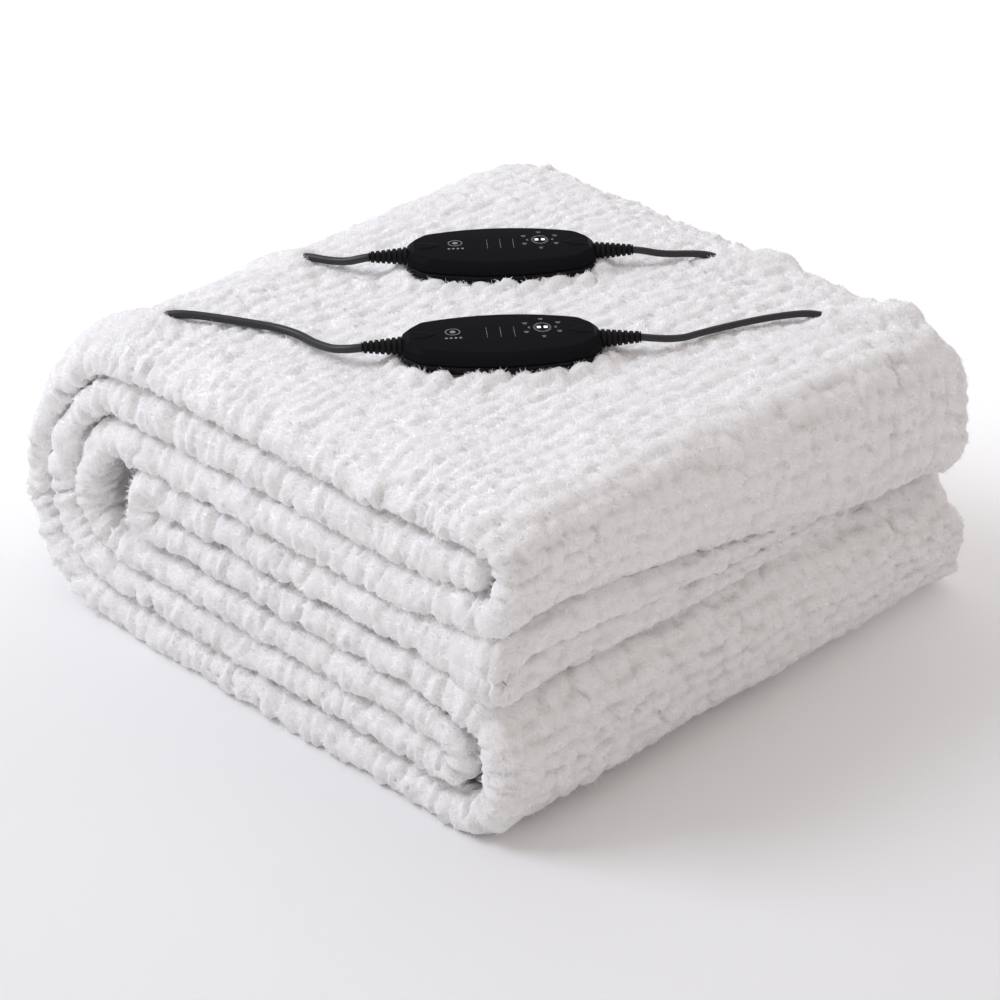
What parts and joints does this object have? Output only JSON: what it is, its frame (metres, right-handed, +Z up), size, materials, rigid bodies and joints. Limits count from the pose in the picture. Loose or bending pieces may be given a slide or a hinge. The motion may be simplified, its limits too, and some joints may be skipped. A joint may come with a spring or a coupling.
{
  "type": "heated mattress cover",
  "caption": "White fleece heated mattress cover folded to a square stack of layers, with two black hand controls lying on it and their leads running over its edges",
  "frame": {"origin": "middle of the folded stack's footprint, on the surface that it stands on", "axes": "+X toward the face with the two bulging tiers, +Y along the folds from the near section to the far one, +Z up"},
  "size_m": [0.5479, 0.4441, 0.2145],
  "materials": {
    "fleece": "knitted fleece with a pile of small tufts",
    "control_case": "black, satin",
    "relief": "black, matte, ribbed",
    "lead": "black, matte",
    "plug": "black, satin",
    "pin": "plain, polished"
  },
  "bodies": {
    "root": {"cover": "fleece", "control_base_front": "control_case", "control_top_front": "control_case", "control_base_back": "control_case", "control_top_back": "control_case", "relief_mains_front": "relief", "relief_heater_front": "relief", "relief_mains_back": "relief", "relief_heater_back": "relief", "mains_lead_front": "lead", "mains_lead_back": "lead", "mains_end_front": "lead", "mains_end_back": "lead", "heater_lead_front": "lead", "heater_lead_back": "lead", "mains_coil_front": "lead", "mains_coil_back": "lead", "plug_front": "plug", "plug_back": "plug", "pin_live_front": "pin", "pin_neutral_front": "pin", "pin_earth_front": "pin", "pin_live_back": "pin", "pin_neutral_back": "pin", "pin_earth_back": "pin"}
  },
  "joints": []
}
